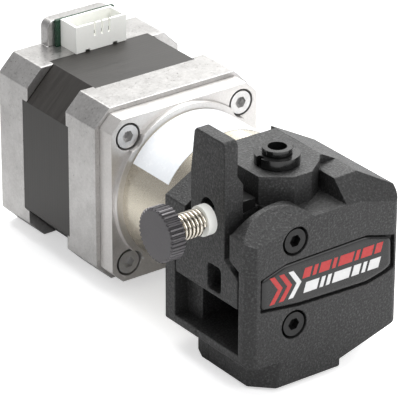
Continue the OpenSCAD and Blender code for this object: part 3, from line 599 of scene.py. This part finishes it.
def make_thread(start, stop):
    """The M4 thread, with a run-out at its end."""
    step = THREAD_PITCH / THREAD_STEPS
    rows = []
    for i in range(int((stop - start) / step) + 1):
        x = start + i * step
        fade = min(1.0, (stop - x) / THREAD_FADE)
        ring = []
        for k in range(THREAD_AROUND):
            turn = k / THREAD_AROUND
            ridge = abs((x / THREAD_PITCH - turn) % 1.0 - 0.5) * 2
            radius = THREAD_RADIUS * (0.8 + 0.2 * fade) - THREAD_DEPTH * (1 - ridge) * fade
            ring.append(around_screw(x, radius, 2 * math.pi * turn))
        rows.append(ring)
    mesh = grid_mesh("thumbscrew_thread", rows)
    thread = new_piece("thumbscrew_thread", mesh, "knob_steel", "thumbscrew", "knob_steel", "thumbscrew")
    shade(thread, 60)


# ---------------------------------------------------------------- spring
SPRING_TURNS = 6.5
SPRING_WIRE = 0.41 * MM
SPRING_RADIUS = 2.6 * MM
SPRING_SPLIT = 0.27  # the knob end's share of the wire
SPRING_SIDES = 12
SPRING_STEPS = 40


def spring_x(t, left, right):
    """Where the wire's middle is along the spring: a closed turn at each end, even turns between."""
    closed = 0.9 / SPRING_TURNS
    low, high = left + SPRING_WIRE, right - SPRING_WIRE
    shut = 2.05 * SPRING_WIRE
    if t < closed:
        return low + shut * t / closed
    if t > 1 - closed:
        return high - shut * (1 - t) / closed
    return low + shut + (high - low - 2 * shut) * (t - closed) / (1 - 2 * closed)


def spring_part(name, t0, t1, body):
    """The wire between two shares of the spring's length."""
    left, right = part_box("tension_spring")[0][0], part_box("tension_spring")[1][0]
    steps = int(SPRING_STEPS * SPRING_TURNS * (t1 - t0))
    rows = []
    for i in range(steps + 1):
        t = t0 + (t1 - t0) * i / steps
        angle = 2 * math.pi * SPRING_TURNS * t
        centre = around_screw(spring_x(t, left, right), SPRING_RADIUS, angle)
        out = Vector((0, math.cos(angle), math.sin(angle)))
        rows.append([
            centre + SPRING_WIRE * (out * math.cos(b) + Vector((1, 0, 0)) * math.sin(b))
            for b in (2 * math.pi * k / SPRING_SIDES for k in range(SPRING_SIDES))
        ])
    piece = new_piece(name, grid_mesh(name, rows), "spring_steel", body, "spring_steel", "tension_spring")
    shade(piece, 60)
    return piece


def make_spring():
    """Two lengths of one coil. The knob's end has no body, with its place baked into its mesh; the bush's
    end is on the root body, with a mesh of its own.
    """
    knob_end = spring_part("spring_knob_end", 0.0, SPRING_SPLIT, None)
    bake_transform(knob_end)
    bush_end = spring_part("spring_bush_end", SPRING_SPLIT, 1.0, "root")
    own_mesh(bush_end)


# ---------------------------------------------------------------- label
def rounded(corners, steps=5):
    """A closed outline with its corners rounded. Each corner is x, z and its radius."""
    points = []
    for i, (x, z, radius) in enumerate(corners):
        here = Vector((x, z))
        before, after = Vector(corners[i - 1][:2]), Vector(corners[(i + 1) % len(corners)][:2])
        start = here + (before - here).normalized() * radius
        stop = here + (after - here).normalized() * radius
        for k in range(steps + 1):
            s = k / steps
            points.append((1 - s) ** 2 * start + 2 * s * (1 - s) * here + s ** 2 * stop)
    return points


# Corners in mm from the motor's axis: x, z and the radius of the rounding.
LABEL_CORNERS = [
    (-18.5, -4.15, 0.9), (-18.5, 2.85, 0.9), (-12.15, 4.85, 1.2), (9.3, 5.15, 1.2), (16.4, 3.05, 1.3),
    (16.6, -3.9, 1.2), (14.5, -4.85, 0.9), (9.9, -5.9, 1.2), (-8.6, -5.4, 1.2),
]
LABEL_DOME = 0.45 * MM
LABEL_ROUND = 1.2
LABEL_STEPS = 8
MARK_SLANT = 0.3
MARK_PROUD = 0.02 * MM
MARK_SUNK = 0.1 * MM


def drawn_in(corners, inset):
    """The outline's corners after every side has moved inwards, with tighter roundings."""
    inner = []
    for i, (x, z, radius) in enumerate(corners):
        here = Vector((x, z))
        before = (here - Vector(corners[i - 1][:2])).normalized()
        after = (Vector(corners[(i + 1) % len(corners)][:2]) - here).normalized()
        bisector = (Vector((before.y, -before.x)) + Vector((after.y, -after.x))).normalized()
        depth = inset / bisector.dot(Vector((after.y, -after.x)))
        moved = here + bisector * depth
        inner.append((moved.x, moved.y, max(0.25, radius - 0.6 * inset)))
    return inner


def make_label():
    """A resin dome on a flat backing: the rim rises in a quarter round and the top is nearly flat."""
    near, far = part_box("cover_label")[0][1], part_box("cover_label")[1][1]
    rim = near + LABEL_DOME

    def ring(inset, y):
        outline = rounded(drawn_in(LABEL_CORNERS, inset))
        return [Vector((MOTOR_X + p.x * MM, y, MOTOR_Z + p.y * MM)) for p in outline]

    rows = [ring(0.0, far), ring(0.0, rim)]
    for step in range(1, LABEL_STEPS + 1):
        turn = step / LABEL_STEPS * math.pi / 2
        rows.append(ring(LABEL_ROUND * (1 - math.cos(turn)), rim - LABEL_DOME * math.sin(turn)))
    mesh = grid_mesh("label_dome", rows)
    dome = new_piece("label_dome", mesh, "label", "root", "label", "cover_label")
    shade(dome, 50)
    make_label_marks(near)


def bar_row(start, z0, z1, widths, gap=0.7):
    """Slanted bars side by side."""
    low, high = MARK_SLANT * z0, MARK_SLANT * z1
    bars = []
    for width in widths:
        stop = start + width
        bars.append([(start + low, z0), (stop + low, z0), (stop + high, z1), (start + high, z1)])
        start = stop + gap
    return bars


def make_label_marks(front):
    """Plain bars and chevrons in red and grey, standing a hair proud of the label. They spell nothing."""
    red = bar_row(-8.0, 0.4, 2.7, (2.0, 1.0, 2.8, 1.0, 3.8, 1.0, 3.0, 1.8))
    light = bar_row(-6.6, -3.15, -0.75, (3.6, 1.0, 1.0, 4.6, 2.0, 1.0, 3.0))
    for i, marks in enumerate((red, red, light)):
        x, band, tip = -16.6 + i * 2.5, 1.3, 2.2
        marks.append([(x, -3.4), (x + band, -3.4), (x + band + tip, -0.2), (x + tip, -0.2)])
        marks.append([(x + tip, -0.2), (x + band + tip, -0.2), (x + band, 3.0), (x, 3.0)])
    make_marks("label_marks_red", red, "label_red", front)
    make_marks("label_marks_grey", light, "label_grey", front)


def make_marks(name, shapes, material, front):
    bm = bmesh.new()
    for shape in shapes:
        add_mark(bm, shape, front)
    mesh = bpy.data.meshes.new(name)
    bm.to_mesh(mesh)
    bm.free()
    new_piece(name, mesh, material, "root", "label", "cover_label")


def add_mark(bm, shape, front):
    """One bar: a thin slab that starts inside the dome and ends a hair in front of it."""
    near = [bm.verts.new((MOTOR_X + x * MM, front - MARK_PROUD, MOTOR_Z + z * MM)) for x, z in shape]
    far = [bm.verts.new((MOTOR_X + x * MM, front + MARK_SUNK, MOTOR_Z + z * MM)) for x, z in shape]
    faces = [bm.faces.new(near), bm.faces.new(list(reversed(far)))]
    for k in range(4):
        faces.append(bm.faces.new((near[k], far[k], far[(k + 1) % 4], near[(k + 1) % 4])))
    bmesh.ops.recalc_face_normals(bm, faces=faces)


# ---------------------------------------------------------------- assembly
# Finish, and width of the rounded edges in mm.
ROUNDED_NODES = {
    "housing": ("plastic", 0.25),
    "cover": ("plastic", 0.25),
    "lever": ("plastic", 0.3),
    "motor_front_cap": ("cast_alloy", 0.25),
    "motor_rear_cap": ("cast_alloy", 0.25),
    # The base plate gets the alloy painted lighter, a painted highlight for its front face.
    "gearbox_base_plate": ("plate_alloy_lit", 0.2),
    "motor_laminations": ("lamination", 0.12),
    "motor_connector": ("white_nylon", 0.15),
    "motor_circuit_board": ("board_green", 0.05),
    "tension_nut": ("black_oxide", 0.2),
    "connector_pins": ("contact_tin", 0.06),
}
# Nodes that look a little different from the rest of their slot.
LOOKS = {"gearbox_screws": "zinc_steel", "motor_case_bolts": "zinc_steel"}


def finish_nodes():
    """Every CAD node that shows as it is gets its material."""
    for name, node in NODES.items():
        if name in ROUNDED_NODES:
            continue
        node.data.materials.clear()
        node.data.materials.append(MATERIALS[LOOKS.get(name, slot_of(name))])


MATERIALS = make_materials()
make_camera()
make_light()
make_floor()
for node_name, (look, edge_width) in ROUNDED_NODES.items():
    make_rounded(node_name, look, edge_width)
make_thumbscrew()
make_spring()
make_label()
finish_nodes()
